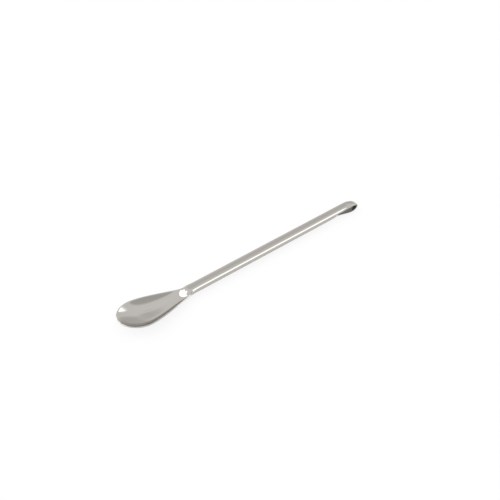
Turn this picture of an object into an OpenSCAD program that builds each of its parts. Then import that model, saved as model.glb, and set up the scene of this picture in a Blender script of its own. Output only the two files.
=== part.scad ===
// Lab spatula: spoon bowl, nosed neck, channel handle and folded end loop,
// all pressed from one strip of sheet. Units are millimetres.
// The tool lies as it rests: along X, bowl at -X, mirror plane at Y = 0,
// bowl belly and end loop both touching Z = 0.

/* [Sheet] */
// Overall length, bowl tip to end loop
overall_len = 180; // [165:1:200]
// Thickness of the pressed sheet
sheet_t = 0.8; // [0.7:0.05:1.1]
// How far the rounded rim stands out past the cut edge, as a share of the sheet
rim_round = 0.32; // [0.1:0.02:0.45]

/* [Bowl] */
// Length of the bowl, tip to straight handle
bowl_len = 54.1; // [48:0.5:58]
// Greatest width over the rim
bowl_w = 23.4; // [20:0.2:30]
// Distance from the tip to the greatest width
widest_x = 14.6; // [11:0.1:18]
// Distance from the tip to the lowest point of the belly
belly_x = 24.0; // [18:0.5:26]
// Height of the rim at the tip
tip_rim_z = 8.5; // [6.5:0.1:10]
// Height of the rim where the handle starts
neck_rim_z = 2.9; // [2:0.1:3.6]
// How far the rim arches over a straight line
rim_arch = 0.3; // [0:0.05:1]
// Fullness of the side walls, more gives a flatter floor
wall_power = 3.1; // [2.2:0.1:4]
// Fullness of the floor toward the tip
front_power = 2.1; // [2:0.1:3.5]
// Fullness of the floor toward the neck
back_power = 2.1; // [1.2:0.1:3.5]
// Height of the floor at the foot of the nose, middle of the sheet
neck_floor_z = 2.7; // [2:0.1:4]
// Shape of the taper from the greatest width to the neck
taper_power = 1.53; // [1.2:0.05:2]

/* [Neck] */
// Distance from the bowl tip to the foot of the nose
nose_x = 42.3; // [37:0.1:43]
// Length over which the nose climbs to the crown
nose_rise = 5.8; // [4:0.1:9]
// How much slower the flanks of the nose climb, as a share of its climb
flank_slow = 0.1; // [0:0.05:0.8]
// How far the flanks of the nose lag behind its middle
nose_lag = 1.3; // [1:0.1:4]
// Distance from the tip at which the section starts to gather for the neck
gather_x = 22.0; // [20:0.5:32]

/* [Handle] */
// Width over the walls at the neck
handle_w = 6.3; // [5.2:0.05:7]
// Width over the walls at the end loop
handle_end_w = 5.75; // [5:0.05:7]
// Height of the channel over its walls
handle_h = 3.4; // [3:0.05:4.2]
// Slope of the crown where it meets the shoulder, in degrees
crown_angle = 10; // [8:1:28]
// Shoulder radius at mid sheet
shoulder_r = 0.78; // [0.6:0.02:1]

/* [End loop] */
// Height of the loop at its fullest
loop_h = 6.5; // [5.4:0.1:8]
// Length over which the crown droops to the tip
droop_len = 10.0; // [8:0.1:14]
// Height of the foremost point of the loop
tip_z = 1.7; // [1.5:0.05:2.6]
// Distance from the tip back to the lowest point of the loop
foot_len = 3.2; // [2:0.1:4]
// Distance from the tip back to the end of the tucked tongue
tongue_len = 21.5; // [20:0.1:24]
// How far the tongue stands below the feet of the walls
tongue_low = 0.1; // [0:0.05:0.4]
// Width of the tongue where it lies between the walls
tongue_w = 3.3; // [2.6:0.05:3.5]
// Distance from the tip at which the walls start to run out
runout_start = 20; // [18:0.1:22]
// Distance from the tip at which the walls have run out
runout_end = 7.9; // [4:0.1:9]
// Height of the quick step in the walls that lets the tongue out
step_h = 1.2; // [1:0.05:1.6]
// Length of that step
step_len = 0.5; // [0.4:0.1:3]
// Length over which the tongue narrows to go between the walls
tuck_len = 0.6; // [0.4:0.1:4]
// Gap between the wide part of the tongue and the ends of the walls
tuck_gap = 0.2; // [0.1:0.05:0.5]
// Width of that strip where it leaves the walls
strip_w = 5.85; // [5:0.05:6.6]
// Length over which the web opens out into a flat strip
open_len = 7.5; // [3:0.5:10]
// Crown across that strip where it opens
strip_sag = 0.25; // [0.1:0.05:1]
// Crown left across the strip once it is folded under
under_sag = 0.2; // [0:0.05:0.4]
// Length over which the strip narrows to the tip
corner_len = 6.5; // [2:0.1:10]
// Fullness of the corners in plan, more is squarer
corner_power = 2; // [1.6:0.1:5]
// Width left at the very tip
tip_w = 3.1; // [2:0.1:5]

/* [Hidden] */
// mid-sheet sizes
half_t = sheet_t / 2;
end_x = overall_len - half_t;
start_x = half_t * 0.72;
crown_n = 4;
shoulder_n = 5;
wall_n = 3;
half_n = crown_n + shoulder_n + wall_n;
row_n = 2 * half_n + 1;
ring_n = 2 * row_n + 2;
wall_foot_end = loop_h - handle_h;
wall_left = 0.15;
tongue_x = end_x - tongue_len;
foot_x = end_x - foot_len;
step_x = overall_len - runout_start;
tuck_x = step_x + step_len + tuck_gap - tuck_len;

// ---- small helpers ----
function clamp01(a) = min(1, max(0, a));
function ease(a) = let (c = clamp01(a)) c * c * (3 - 2 * c);
function mix(a, b, k) = a + (b - a) * k;
function unit(v) = v / max(norm(v), 1e-9);

// ---- bowl ----
function rim_z(x) =
    let (q = clamp01(x / bowl_len))
    mix(tip_rim_z, neck_rim_z, q) + rim_arch * 4 * q * (1 - q);

function handle_half(x) =
    mix(handle_w, handle_end_w, clamp01((x - bowl_len) / (overall_len - bowl_len))) / 2 - half_t;

// half width of the rim at mid sheet: an ellipse at the tip, a long taper to the neck
function rim_half(x) =
    let (wide = bowl_w / 2 - half_t * 0.8,
         a = (widest_x - x) / (widest_x - start_x),
         b = clamp01((x - widest_x) / (bowl_len - widest_x)))
    x < widest_x ? wide * sqrt(max(0, 1 - a * a))
    : mix(handle_half(x), wide, pow(1 - pow(b, taper_power), taper_power));

// height of the bowl floor on the middle line
function floor_z(x) =
    let (a = clamp01((belly_x - x) / belly_x),
         b = max(0, (x - belly_x) / (nose_x - belly_x)))
    half_t + (x < belly_x
        ? (tip_rim_z - half_t) * pow(a, front_power)
        : (neck_floor_z - half_t) * pow(b, back_power));

// ---- channel section, by distance along the half profile ----
function crown_half(h) = h - shoulder_r * (1 - sin(crown_angle));
function crown_sag(h) = crown_half(h) * tan(crown_angle) / 2;
function shoulder_end(h) = crown_half(h) + shoulder_r * (90 - crown_angle) * PI / 180;
function drop_full() = handle_h - half_t;
function profile_full(h) =
    shoulder_end(h) + drop_full() - crown_sag(h) - shoulder_r * cos(crown_angle);
function profile_at(h, s) =
    let (c = crown_half(h), e = shoulder_end(h))
    s <= c ? [s, crown_sag(h) * pow(s / c, 2)]
    : s <= e ? let (f = crown_angle + (s - c) / shoulder_r * 180 / PI)
        [c + shoulder_r * (sin(f) - sin(crown_angle)),
         crown_sag(h) + shoulder_r * (cos(crown_angle) - cos(f))]
    : [h, crown_sag(h) + shoulder_r * cos(crown_angle) + s - e];

// place of profile point j when the profile is cut off at length cut
function place(h, j, cut) =
    let (c = crown_half(h), e = shoulder_end(h))
    j <= crown_n ? c * j / crown_n
    : j <= crown_n + shoulder_n ? mix(c, e, (j - crown_n) / shoulder_n)
    : mix(e, cut, (j - crown_n - shoulder_n) / wall_n);

// ---- bowl, neck and straight handle ----
function crown_z(x) =
    mix(neck_rim_z, wall_foot_end, clamp01((x - bowl_len) / (overall_len - bowl_len)))
    + handle_h - half_t;

// profile length left where the walls run out: a quick step, then a long taper
function cut_at(h, x) =
    let (d = x - step_x, full = profile_full(h),
         least = shoulder_end(h) + wall_left,
         taper = clamp01((d - step_len * 0.6) / (runout_start - runout_end - step_len * 0.6)))
    full - step_h * ease(d / step_len) - (full - step_h - least) * taper;

// past the walls the web opens out into a nearly flat strip of the same width
function web_point(h, x, j, sag = strip_sag) =
    let (p = profile_at(h, place(h, j, cut_at(h, x))),
         s = j / half_n,
         k = ease((x - end_x + open_len) / open_len))
    [mix(p[0], (strip_w / 2 - sheet_t * rim_round) * s, k), mix(p[1], sag * s * s, k)];

function neck_point(x, j) =
    let (s = j / half_n,
         h = handle_half(x),
         w = rim_half(x),
         zr = rim_z(x),
         p = profile_at(h, place(h, j, profile_full(h))),
         flare = pow(clamp01((s - crown_n / half_n) / (1 - crown_n / half_n)), 1.2),
         yh = p[0] + (w - h) * flare,
         yb = w * (0.72 * s + 0.28 * sin(90 * s)),
         y = mix(yb, yh, ease((x - gather_x) / (nose_x + nose_rise - gather_x))),
         zc = crown_z(x),
         zb = zr - (zr - min(zr, floor_z(x))) * (1 - pow(min(1, y / w), wall_power)),
         zh = zc - p[1] * (zc - zr) / drop_full(),
         q = min(1.3, pow(y / h, 2)),
         m = ease((x - nose_x - nose_lag * q) / (nose_rise * (1 + flank_slow * q))))
    [y, mix(zb, zh, m)];

function handle_point(x, j) =
    let (p = web_point(handle_half(x), x, j))
    [p[0], crown_z(x) - p[1]];

// ---- end loop: middle line as [x, z, up_x, up_z] ----
function upper_half() = crown_z(end_x) - tip_z;
function lower_half() = tip_z - half_t;
function bend(a) =
    let (ax = a >= 0 ? droop_len : foot_len,
         az = a >= 0 ? upper_half() : lower_half(),
         up = unit([cos(a) / ax, sin(a) / az]))
    [end_x - ax + ax * cos(a), tip_z + az * sin(a), up[0], up[1]];
function tongue(x) =
    let (run = foot_x - tuck_x, k = clamp01((foot_x - x) / run), rise = wall_foot_end - tongue_low,
         up = unit([-rise * 6 * k * (1 - k) / run, -1]))
    [x, half_t + rise * ease(k), up[0], up[1]];

// half width of the strip in the loop, over its full width, by distance from the tip
function plan_share(x, low) =
    let (a = clamp01((x - (end_x - corner_len)) / corner_len),
         corner = mix(1, tip_w / strip_w, pow(a, corner_power)),
         tuck = low ? mix(tongue_w / strip_w, 1, ease((x - tuck_x) / tuck_len)) : 1)
    corner * tuck;

function loop_point(path, j, low) =
    let (past = low ? 1 : ease((path[0] - end_x + droop_len) / droop_len),
         p = web_point(handle_half(path[0]), low ? end_x : path[0], j,
             mix(strip_sag, under_sag, past)),
         share = plan_share(path[0], low),
         d = p[1] * share)
    [p[0] * share, path[0] - path[2] * d, path[1] - path[3] * d];

// ---- stations along the strip: [kind, value] ----
function span(a, b, n) = [for (i = [0 : n - 1]) mix(a, b, i / n)];
stations = concat(
    [for (i = [0 : 13]) ["n", widest_x - (widest_x - start_x) * cos(mix(7, 90, i / 14))]],
    [for (x = span(widest_x, nose_x - 2, 15)) ["n", x]],
    [for (x = span(nose_x - 2, bowl_len, 22)) ["n", x]],
    [for (x = span(bowl_len, step_x, 9)) ["h", x]],
    [for (x = span(step_x, step_x + step_len, 2)) ["h", x]],
    [for (x = span(step_x + step_len, end_x - droop_len, 6)) ["h", x]],
    [for (a = span(90, 0, 15)) ["b", a]],
    [for (a = span(0, -90, 7)) ["b", a]],
    [for (x = span(foot_x, tuck_x + tuck_len, 10)) ["t", x]],
    [for (x = span(tuck_x + tuck_len, tuck_x, 2)) ["t", x]],
    [for (x = span(tuck_x, tongue_x, 2)) ["t", x]],
    [["t", tongue_x]]);
station_n = len(stations);

function row(st) =
    st[0] == "n" ? [for (j = [-half_n : half_n])
        let (p = neck_point(st[1], abs(j))) [st[1], sign(j) * p[0], p[1]]]
    : st[0] == "h" ? [for (j = [-half_n : half_n])
        let (p = handle_point(st[1], abs(j))) [st[1], sign(j) * p[0], p[1]]]
    : let (path = st[0] == "b" ? bend(st[1]) : tongue(st[1]),
           low = st[0] == "t" || st[1] < 0)
      [for (j = [-half_n : half_n])
        let (p = loop_point(path, abs(j), low)) [p[1], sign(j) * p[0], p[2]]];

mid = [for (st = stations) row(st)];

// sheet normal at a grid point, from its neighbours
function lean(i, j) =
    let (a = mid[max(0, i - 1)][j], b = mid[min(station_n - 1, i + 1)][j],
         c = mid[i][max(0, j - 1)], d = mid[i][min(row_n - 1, j + 1)])
    unit(cross(b - a, d - c));

// rounded cut edge: the mid-sheet point pushed outward in the plane of the sheet
function outward(i, j) =
    let (side = j == 0 ? mid[i][0] - mid[i][1]
              : j == row_n - 1 ? mid[i][j] - mid[i][j - 1] : [0, 0, 0],
         tail = i == 0 ? mid[0][j] - mid[1][j]
              : i == station_n - 1 ? mid[i][j] - mid[i - 1][j] : [0, 0, 0])
    unit(unit(side) + unit(tail));
function edge_point(i, j) = mid[i][j] + outward(i, j) * sheet_t * rim_round;

// one closed ring of points per station: top row, far rim, bottom row, near rim
ring_points = [for (i = [0 : station_n - 1])
    let (up = [for (j = [0 : row_n - 1]) lean(i, j) * half_t])
    each concat(
        [for (j = [0 : row_n - 1]) mid[i][j] + up[j]],
        [edge_point(i, row_n - 1)],
        [for (j = [row_n - 1 : -1 : 0]) mid[i][j] - up[j]],
        [edge_point(i, 0)])];
cap_first = station_n * ring_n;
cap_points = [for (i = [0, station_n - 1]) for (j = [1 : row_n - 2]) edge_point(i, j)];

function at(i, k) = i * ring_n + k % ring_n;
// quad split along the diagonal that mirrors across the middle line
function split(a, b, c, d, flip) = flip ? [[a, c, b], [a, d, c]] : [[a, d, b], [b, d, c]];
function on_left(k) = k < half_n || k >= row_n + 1 + half_n;
side_faces = [for (i = [0 : station_n - 2]) for (k = [0 : ring_n - 1])
    each split(at(i, k), at(i + 1, k), at(i + 1, k + 1), at(i, k + 1), on_left(k))];

function cap_at(e, j) =
    let (i = e * (station_n - 1))
    j == 0 ? at(i, ring_n - 1)
    : j == row_n - 1 ? at(i, row_n)
    : cap_first + e * (row_n - 2) + j - 1;
function cap_faces(e) =
    let (i = e * (station_n - 1))
    [for (j = [0 : row_n - 2])
        let (top = split(at(i, j), at(i, j + 1), cap_at(e, j + 1), cap_at(e, j), j < half_n),
             low = split(cap_at(e, j), cap_at(e, j + 1), at(i, ring_n - 3 - j),
                 at(i, ring_n - 2 - j), j < half_n))
        each [for (f = concat(top, low)) e == 0 ? f : [f[2], f[1], f[0]]]];

all_points = concat(ring_points, cap_points);
all_faces = concat(side_faces, cap_faces(0), cap_faces(1));
low_x = min([for (p = all_points) p[0]]);
high_x = max([for (p = all_points) p[0]]);
low_z = min([for (p = all_points) p[2]]);

// whole tool: one closed sheet body
module spatula() {
    color([0.78, 0.77, 0.75])
        translate([-(low_x + high_x) / 2, 0, -low_z])
            polyhedron(points = all_points, faces = all_faces, convexity = 8);
}

spatula();
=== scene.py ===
"""Polished steel lab spatula, lying on a pale table under soft studio light."""

import math

import bmesh
import bpy
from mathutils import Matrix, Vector


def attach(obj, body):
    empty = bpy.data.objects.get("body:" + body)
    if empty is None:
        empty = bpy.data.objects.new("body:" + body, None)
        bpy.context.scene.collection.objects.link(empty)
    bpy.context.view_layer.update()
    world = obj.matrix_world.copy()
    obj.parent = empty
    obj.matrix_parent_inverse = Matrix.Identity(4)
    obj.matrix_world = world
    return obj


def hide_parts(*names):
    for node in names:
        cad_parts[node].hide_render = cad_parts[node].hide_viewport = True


MM = 0.001

# ---- finish ----
STEEL_COLOUR = (0.486, 0.466, 0.440, 1.0)
WORN_COLOUR = (0.55, 0.53, 0.505, 1.0)
POLISH_ROUGHNESS = 0.09
RUB_ROUGHNESS = 0.18
POLISH_WAVE_LENGTH = 9 * MM
POLISH_WAVE_DEPTH = 0.02 * MM
POLISH_WAVE_SHARE = 0.35
POLISH_WAVE_DETAIL = 1.0
RUB_LINE_WIDTH = 0.25 * MM
RUB_LINE_STRETCH = 0.03  # how far the marks are drawn out along the tool
RUB_PATCHES = 90.0  # patches of stronger and weaker rubbing per metre
RUB_LINE_DETAIL = 3.0
RUB_PATCH_DETAIL = 2.0
RUB_CONTRAST = 2.2
RUB_DEPTH = 0.002 * MM
RUB_SHARE = 0.25
WEAR_START = 0.5  # pointiness of a flat face
WEAR_SPREAD = 0.1
# Painted shade: a dark base colour for the faces inside the folded loop, in place of the shade
# that falls in that hollow.
LOOP_SHADE_COLOUR = (0.17, 0.16, 0.15, 1.0)
LOOP_MIDDLE = (80 * MM, 0, 3.6 * MM)
LOOP_REACH = 12 * MM
LOOP_FULL_SHARE = 0.75  # the painted shade is full within this share of the reach
LOOP_FACING = (0.05, 0.25)  # how squarely a face looks inward, from no painted shade to full painted shade

# ---- skin ----
WELD = 0.002 * MM
FLAT_ENOUGH = math.radians(40)
SQUARE_ENOUGH = math.radians(60)
SMOOTH_STEPS = 2

# ---- camera ----
VIEW_TURN = math.radians(38.0)
VIEW_HEIGHT = math.radians(43.0)
VIEW_DISTANCE = 742 * MM
VIEW_WIDTH = 300.1 * MM
AIM_HEIGHT = 3 * MM
SENSOR = 36.0
SHIFT_RIGHT = 0.0114
SHIFT_UP = 0.0248
NEAREST_VIEW = 10 * MM

# ---- studio ----
FLOOR_SIZE = 4.0
TABLE_GREY = 0.86
TABLE_ROUGHNESS = 0.9
TABLE_IN_STEEL = 0.6  # share of the table's white that the steel mirrors
ROOM_LOW = 0.97
ROOM_HIGH = 1.07
ROOM_DARKEST = 0.02

# Round panels of the light tent: turn from +X and height in degrees, half angle, softness, change.
PANELS = {
    "far_corner_box": (128, 22, 28, 3, 1.5),
    "roof_corner_box": (156, 57, 16, 5, 1.5),
    "far_corner_gap": (114, 53, 6, 4, -0.35),
    "near_side_gap": (-80, 20, 18, 6, -0.34),
    "far_side_gap": (40, 13, 14, 9, -0.25),
    "end_glow": (-19, 18, 10, 6, 0.35),
    "far_roof_gap": (50, 42, 8, 8, -0.22),
    "roof_gap": (24, 62, 4, 5, -0.10),
}

# Strip lamp beside the handle, seen only as a gleam: middle, length, width, lean and power
STRIP_MIDDLE = (29 * MM, -16.3 * MM, 19.1 * MM)
STRIP_LENGTH = 124 * MM
STRIP_WIDTH = 32 * MM
STRIP_LEAN = math.radians(45.5)
STRIP_POWER = 0.0165


def socket(group, name, kind, way, value=None):
    """One named socket of a node group."""
    made = group.interface.new_socket(name=name, in_out=way, socket_type=kind)
    if value is not None:
        made.default_value = value
    return made


def maths(tree, operation, first=None, second=None, clamp=False):
    """A Math node; numbers go on its sockets and nodes are linked to them."""
    node = tree.nodes.new("ShaderNodeMath")
    node.operation = operation
    node.use_clamp = clamp
    for slot, value in enumerate((first, second)):
        if value is None:
            continue
        if isinstance(value, (int, float)):
            node.inputs[slot].default_value = value
        else:
            tree.links.new(value, node.inputs[slot])
    return node.outputs[0]


def rub_marks_group():
    """Fine rub marks that run along the tool, in patches of stronger and weaker rubbing."""
    group = bpy.data.node_groups.new("rub_marks", "ShaderNodeTree")
    socket(group, "Scale", "NodeSocketFloat", "INPUT", 1 / RUB_LINE_WIDTH)
    socket(group, "Marks", "NodeSocketFloat", "OUTPUT")
    nodes, links = group.nodes, group.links
    inlet = nodes.new("NodeGroupInput")
    outlet = nodes.new("NodeGroupOutput")
    place = nodes.new("ShaderNodeTexCoord")
    stretch = nodes.new("ShaderNodeMapping")
    stretch.inputs["Scale"].default_value = (RUB_LINE_STRETCH, 1.0, 1.0)
    links.new(place.outputs["Object"], stretch.inputs["Vector"])
    grain = nodes.new("ShaderNodeTexNoise")
    grain.inputs["Detail"].default_value = RUB_LINE_DETAIL
    links.new(stretch.outputs["Vector"], grain.inputs["Vector"])
    links.new(inlet.outputs["Scale"], grain.inputs["Scale"])
    patch = nodes.new("ShaderNodeTexNoise")
    patch.inputs["Scale"].default_value = RUB_PATCHES
    patch.inputs["Detail"].default_value = RUB_PATCH_DETAIL
    links.new(place.outputs["Object"], patch.inputs["Vector"])
    lines = maths(group, "POWER", grain.outputs["Fac"], 2.0)
    soft = maths(group, "MULTIPLY", lines, patch.outputs["Fac"])
    links.new(maths(group, "MULTIPLY", soft, RUB_CONTRAST, clamp=True), outlet.inputs["Marks"])
    return group


def polish_wave_group():
    """The slow unevenness that hand polishing leaves in bright sheet."""
    group = bpy.data.node_groups.new("polish_wave", "ShaderNodeTree")
    socket(group, "Length", "NodeSocketFloat", "INPUT", POLISH_WAVE_LENGTH)
    socket(group, "Height", "NodeSocketFloat", "OUTPUT")
    nodes, links = group.nodes, group.links
    inlet = nodes.new("NodeGroupInput")
    outlet = nodes.new("NodeGroupOutput")
    place = nodes.new("ShaderNodeTexCoord")
    wave = nodes.new("ShaderNodeTexNoise")
    wave.inputs["Detail"].default_value = POLISH_WAVE_DETAIL
    links.new(place.outputs["Object"], wave.inputs["Vector"])
    links.new(maths(group, "DIVIDE", 1.0, inlet.outputs["Length"]), wave.inputs["Scale"])
    links.new(wave.outputs["Fac"], outlet.inputs["Height"])
    return group


def edge_wear_group():
    """A mask that is 1 on the cut rims and the tight shoulders, where the finish is rubbed."""
    group = bpy.data.node_groups.new("edge_wear", "ShaderNodeTree")
    socket(group, "Reach", "NodeSocketFloat", "INPUT", WEAR_START)
    socket(group, "Mask", "NodeSocketFloat", "OUTPUT")
    nodes, links = group.nodes, group.links
    inlet = nodes.new("NodeGroupInput")
    outlet = nodes.new("NodeGroupOutput")
    shape = nodes.new("ShaderNodeNewGeometry")
    spread = nodes.new("ShaderNodeMapRange")
    spread.inputs["From Min"].default_value = WEAR_START
    links.new(shape.outputs["Pointiness"], spread.inputs["Value"])
    full = maths(group, "ADD", inlet.outputs["Reach"], WEAR_SPREAD)
    links.new(full, spread.inputs["From Max"])
    links.new(spread.outputs["Result"], outlet.inputs["Mask"])
    return group


def loop_shade_group():
    """A mask that is 1 on the faces that look into the folded loop, where the hollow gets painted
    shade.
    """
    group = bpy.data.node_groups.new("loop_shade", "ShaderNodeTree")
    socket(group, "Middle", "NodeSocketVector", "INPUT", LOOP_MIDDLE)
    socket(group, "Reach", "NodeSocketFloat", "INPUT", LOOP_REACH)
    socket(group, "Mask", "NodeSocketFloat", "OUTPUT")
    nodes, links = group.nodes, group.links
    inlet = nodes.new("NodeGroupInput")
    outlet = nodes.new("NodeGroupOutput")
    place = nodes.new("ShaderNodeTexCoord")
    inward = nodes.new("ShaderNodeVectorMath")
    inward.operation = "SUBTRACT"
    links.new(inlet.outputs["Middle"], inward.inputs[0])
    links.new(place.outputs["Object"], inward.inputs[1])
    flat = nodes.new("ShaderNodeVectorMath")
    flat.operation = "MULTIPLY"
    flat.inputs[1].default_value = (1, 0, 1)
    links.new(inward.outputs["Vector"], flat.inputs[0])
    apart = nodes.new("ShaderNodeVectorMath")
    apart.operation = "LENGTH"
    links.new(flat.outputs["Vector"], apart.inputs[0])
    aim = nodes.new("ShaderNodeVectorMath")
    aim.operation = "NORMALIZE"
    links.new(flat.outputs["Vector"], aim.inputs[0])
    facing = nodes.new("ShaderNodeVectorMath")
    facing.operation = "DOT_PRODUCT"
    links.new(place.outputs["Normal"], facing.inputs[0])
    links.new(aim.outputs["Vector"], facing.inputs[1])
    inner = nodes.new("ShaderNodeMapRange")
    inner.interpolation_type = "SMOOTHSTEP"
    inner.inputs["From Min"].default_value = LOOP_FACING[0]
    inner.inputs["From Max"].default_value = LOOP_FACING[1]
    links.new(facing.outputs["Value"], inner.inputs["Value"])
    close = nodes.new("ShaderNodeMapRange")
    close.interpolation_type = "SMOOTHSTEP"
    close.inputs["To Min"].default_value = 1.0
    close.inputs["To Max"].default_value = 0.0
    links.new(apart.outputs["Value"], close.inputs["Value"])
    full = maths(group, "MULTIPLY", inlet.outputs["Reach"], LOOP_FULL_SHARE)
    links.new(full, close.inputs["From Min"])
    links.new(inlet.outputs["Reach"], close.inputs["From Max"])
    mask = maths(group, "MULTIPLY", inner.outputs["Result"], close.outputs["Result"])
    links.new(mask, outlet.inputs["Mask"])
    return group


def polished_steel():
    """Bare stainless sheet: bright, slightly wavy, with fine rub marks, rubbed rims and painted
    shade inside the folded loop.
    """
    steel = bpy.data.materials.new("polished_steel")
    steel.use_nodes = True
    tree = steel.node_tree
    nodes, links = tree.nodes, tree.links
    shader = nodes["Principled BSDF"]
    shader.inputs["Metallic"].default_value = 1.0

    marks = nodes.new("ShaderNodeGroup")
    marks.node_tree = rub_marks_group()
    wave = nodes.new("ShaderNodeGroup")
    wave.node_tree = polish_wave_group()
    wear = nodes.new("ShaderNodeGroup")
    wear.node_tree = edge_wear_group()

    tint = nodes.new("ShaderNodeMix")
    tint.data_type = "RGBA"
    tint.inputs["A"].default_value = STEEL_COLOUR
    tint.inputs["B"].default_value = WORN_COLOUR
    links.new(wear.outputs["Mask"], tint.inputs["Factor"])
    # Painted shade: the faces inside the folded loop get a dark base colour in place of the shade
    # that falls there.
    loop_shade_node = nodes.new("ShaderNodeGroup")
    loop_shade_node.node_tree = loop_shade_group()
    loop_shade_mix = nodes.new("ShaderNodeMix")
    loop_shade_mix.data_type = "RGBA"
    loop_shade_mix.inputs["B"].default_value = LOOP_SHADE_COLOUR
    links.new(loop_shade_node.outputs["Mask"], loop_shade_mix.inputs["Factor"])
    links.new(tint.outputs["Result"], loop_shade_mix.inputs["A"])
    links.new(loop_shade_mix.outputs["Result"], shader.inputs["Base Color"])

    rough = nodes.new("ShaderNodeMapRange")
    rough.inputs["To Min"].default_value = POLISH_ROUGHNESS
    rough.inputs["To Max"].default_value = RUB_ROUGHNESS
    links.new(marks.outputs["Marks"], rough.inputs["Value"])
    links.new(rough.outputs["Result"], shader.inputs["Roughness"])

    swell = nodes.new("ShaderNodeBump")
    swell.inputs["Distance"].default_value = POLISH_WAVE_DEPTH
    swell.inputs["Strength"].default_value = POLISH_WAVE_SHARE
    links.new(wave.outputs["Height"], swell.inputs["Height"])
    scratch = nodes.new("ShaderNodeBump")
    scratch.inputs["Distance"].default_value = RUB_DEPTH
    scratch.inputs["Strength"].default_value = RUB_SHARE
    links.new(marks.outputs["Marks"], scratch.inputs["Height"])
    links.new(swell.outputs["Normal"], scratch.inputs["Normal"])
    links.new(scratch.outputs["Normal"], shader.inputs["Normal"])
    return steel


def smooth_skin(node):
    """The sheet body with its facets melted together: welded, made of quads and smoothed."""
    body = node.copy()
    body.data = node.data.copy()
    body.name = "spatula_skin"
    bpy.context.scene.collection.objects.link(body)
    work = bmesh.new()
    work.from_mesh(body.data)
    bmesh.ops.remove_doubles(work, verts=work.verts, dist=WELD)
    bmesh.ops.join_triangles(
        work,
        faces=work.faces,
        angle_face_threshold=FLAT_ENOUGH,
        angle_shape_threshold=SQUARE_ENOUGH,
    )
    bmesh.ops.recalc_face_normals(work, faces=work.faces)
    for face in work.faces:
        face.smooth = True
    work.to_mesh(body.data)
    work.free()
    if body.data.has_custom_normals:
        bpy.context.view_layer.objects.active = body
        bpy.ops.mesh.customdata_custom_splitnormals_clear()
    smoother = body.modifiers.new("smoother", "SUBSURF")
    smoother.levels = SMOOTH_STEPS
    smoother.render_levels = SMOOTH_STEPS
    smoother.boundary_smooth = "PRESERVE_CORNERS"
    return body


def table_top():
    """The pale table: white to the camera, greyer in the steel, with the tool's shadow on it."""
    half = FLOOR_SIZE / 2
    mesh = bpy.data.meshes.new("table_top")
    corners = [(-half, -half, 0), (half, -half, 0), (half, half, 0), (-half, half, 0)]
    mesh.from_pydata(corners, [], [(0, 1, 2, 3)])
    top = bpy.data.objects.new("table_top", mesh)
    bpy.context.scene.collection.objects.link(top)

    cloth = bpy.data.materials.new("pale_table")
    cloth.use_nodes = True
    tree = cloth.node_tree
    nodes, links = tree.nodes, tree.links
    shader = nodes["Principled BSDF"]
    shader.inputs["Base Color"].default_value = (TABLE_GREY, TABLE_GREY, TABLE_GREY, 1)
    shader.inputs["Roughness"].default_value = TABLE_ROUGHNESS
    glow = nodes.new("ShaderNodeEmission")
    glow.inputs["Color"].default_value = (1, 1, 1, 1)
    rays = nodes.new("ShaderNodeLightPath")
    mirrored = maths(tree, "MULTIPLY", rays.outputs["Is Glossy Ray"], TABLE_IN_STEEL)
    seen = maths(tree, "ADD", rays.outputs["Is Camera Ray"], mirrored)
    seen = maths(tree, "ADD", seen, rays.outputs["Is Transmission Ray"], clamp=True)
    blend = nodes.new("ShaderNodeMixShader")
    links.new(maths(tree, "MULTIPLY", seen, TABLE_GREY), blend.inputs["Fac"])
    links.new(shader.outputs["BSDF"], blend.inputs[1])
    links.new(glow.outputs["Emission"], blend.inputs[2])
    links.new(blend.outputs["Shader"], nodes["Material Output"].inputs["Surface"])
    mesh.materials.append(cloth)
    return top


def soft_panel_group():
    """A round soft-edged patch of the tent: 1 inside it, 0 outside."""
    group = bpy.data.node_groups.new("soft_panel", "ShaderNodeTree")
    socket(group, "Toward", "NodeSocketVector", "INPUT")
    socket(group, "Inner", "NodeSocketFloat", "INPUT")
    socket(group, "Outer", "NodeSocketFloat", "INPUT")
    socket(group, "Mask", "NodeSocketFloat", "OUTPUT")
    nodes, links = group.nodes, group.links
    inlet = nodes.new("NodeGroupInput")
    outlet = nodes.new("NodeGroupOutput")
    look = nodes.new("ShaderNodeTexCoord")
    facing = nodes.new("ShaderNodeVectorMath")
    facing.operation = "DOT_PRODUCT"
    links.new(look.outputs["Generated"], facing.inputs[0])
    links.new(inlet.outputs["Toward"], facing.inputs[1])
    edge = nodes.new("ShaderNodeMapRange")
    edge.interpolation_type = "SMOOTHSTEP"
    links.new(facing.outputs["Value"], edge.inputs["Value"])
    links.new(inlet.outputs["Outer"], edge.inputs["From Min"])
    links.new(inlet.outputs["Inner"], edge.inputs["From Max"])
    links.new(edge.outputs["Result"], outlet.inputs["Mask"])
    return group


def strip_lamp():
    """A long soft box over the handle's near side; it draws the bright line on the shoulder."""
    lamp = bpy.data.lights.new("strip_lamp", "AREA")
    lamp.shape = "RECTANGLE"
    lamp.size = STRIP_LENGTH
    lamp.size_y = STRIP_WIDTH
    lamp.energy = STRIP_POWER
    stand = bpy.data.objects.new("strip_lamp", lamp)
    stand.location = STRIP_MIDDLE
    stand.rotation_euler = (STRIP_LEAN, 0, 0)
    stand.visible_camera = False
    stand.visible_diffuse = False
    bpy.context.scene.collection.objects.link(stand)


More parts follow.
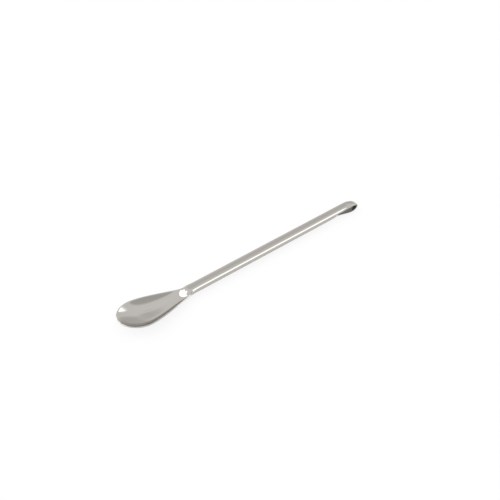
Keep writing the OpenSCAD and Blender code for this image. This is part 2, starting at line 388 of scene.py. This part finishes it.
def studio_room():
    """The light tent round the table: an even room with brighter boxes and darker gaps in it."""
    world = bpy.data.worlds.new("studio_room")
    bpy.context.scene.world = world
    world.use_nodes = True
    tree = world.node_tree
    nodes, links = tree.nodes, tree.links
    nodes.clear()
    look = nodes.new("ShaderNodeTexCoord")
    split = nodes.new("ShaderNodeSeparateXYZ")
    links.new(look.outputs["Generated"], split.inputs["Vector"])
    wall = nodes.new("ShaderNodeMapRange")
    wall.inputs["To Min"].default_value = ROOM_LOW
    wall.inputs["To Max"].default_value = ROOM_HIGH
    links.new(split.outputs["Z"], wall.inputs["Value"])
    level = wall.outputs["Result"]
    group = soft_panel_group()
    for name, (turn, height, half, soft, change) in PANELS.items():
        panel = nodes.new("ShaderNodeGroup")
        panel.node_tree = group
        panel.name = panel.label = name
        t, h = math.radians(turn), math.radians(height)
        toward = (math.cos(t) * math.cos(h), math.sin(t) * math.cos(h), math.sin(h))
        panel.inputs["Toward"].default_value = toward
        panel.inputs["Inner"].default_value = math.cos(math.radians(max(0, half - soft)))
        panel.inputs["Outer"].default_value = math.cos(math.radians(half + soft))
        step = maths(tree, "MULTIPLY", panel.outputs["Mask"], change)
        level = maths(tree, "ADD", level, step)
    level = maths(tree, "MAXIMUM", level, ROOM_DARKEST)
    air = nodes.new("ShaderNodeBackground")
    links.new(level, air.inputs["Color"])
    out = nodes.new("ShaderNodeOutputWorld")
    links.new(air.outputs["Background"], out.inputs["Surface"])


def camera():
    """Stands on the bowl's side, above the tool, and looks down along it."""
    forward = Vector(
        (
            math.sin(VIEW_TURN) * math.cos(VIEW_HEIGHT),
            math.cos(VIEW_TURN) * math.cos(VIEW_HEIGHT),
            -math.sin(VIEW_HEIGHT),
        )
    )
    lens = bpy.data.cameras.new("camera")
    lens.sensor_width = SENSOR
    lens.lens = SENSOR * VIEW_DISTANCE / VIEW_WIDTH
    lens.shift_x = SHIFT_RIGHT
    lens.shift_y = SHIFT_UP
    lens.clip_start = NEAREST_VIEW
    eye = bpy.data.objects.new("camera", lens)
    eye.location = Vector((0, 0, AIM_HEIGHT)) - forward * VIEW_DISTANCE
    eye.rotation_euler = forward.to_track_quat("-Z", "Y").to_euler()
    bpy.context.scene.collection.objects.link(eye)
    bpy.context.scene.camera = eye


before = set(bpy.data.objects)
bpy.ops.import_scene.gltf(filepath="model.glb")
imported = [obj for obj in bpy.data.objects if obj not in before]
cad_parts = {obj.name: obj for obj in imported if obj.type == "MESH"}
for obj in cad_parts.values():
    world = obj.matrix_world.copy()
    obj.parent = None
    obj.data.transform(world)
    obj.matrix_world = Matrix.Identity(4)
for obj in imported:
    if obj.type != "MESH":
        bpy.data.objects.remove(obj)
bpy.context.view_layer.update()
bpy.context.scene.view_settings.view_transform = "Standard"

skin = smooth_skin(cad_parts["spatula"])
skin.data.materials.clear()
skin.data.materials.append(polished_steel())
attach(skin, "root")
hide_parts("spatula")

table_top()
strip_lamp()
studio_room()
camera()
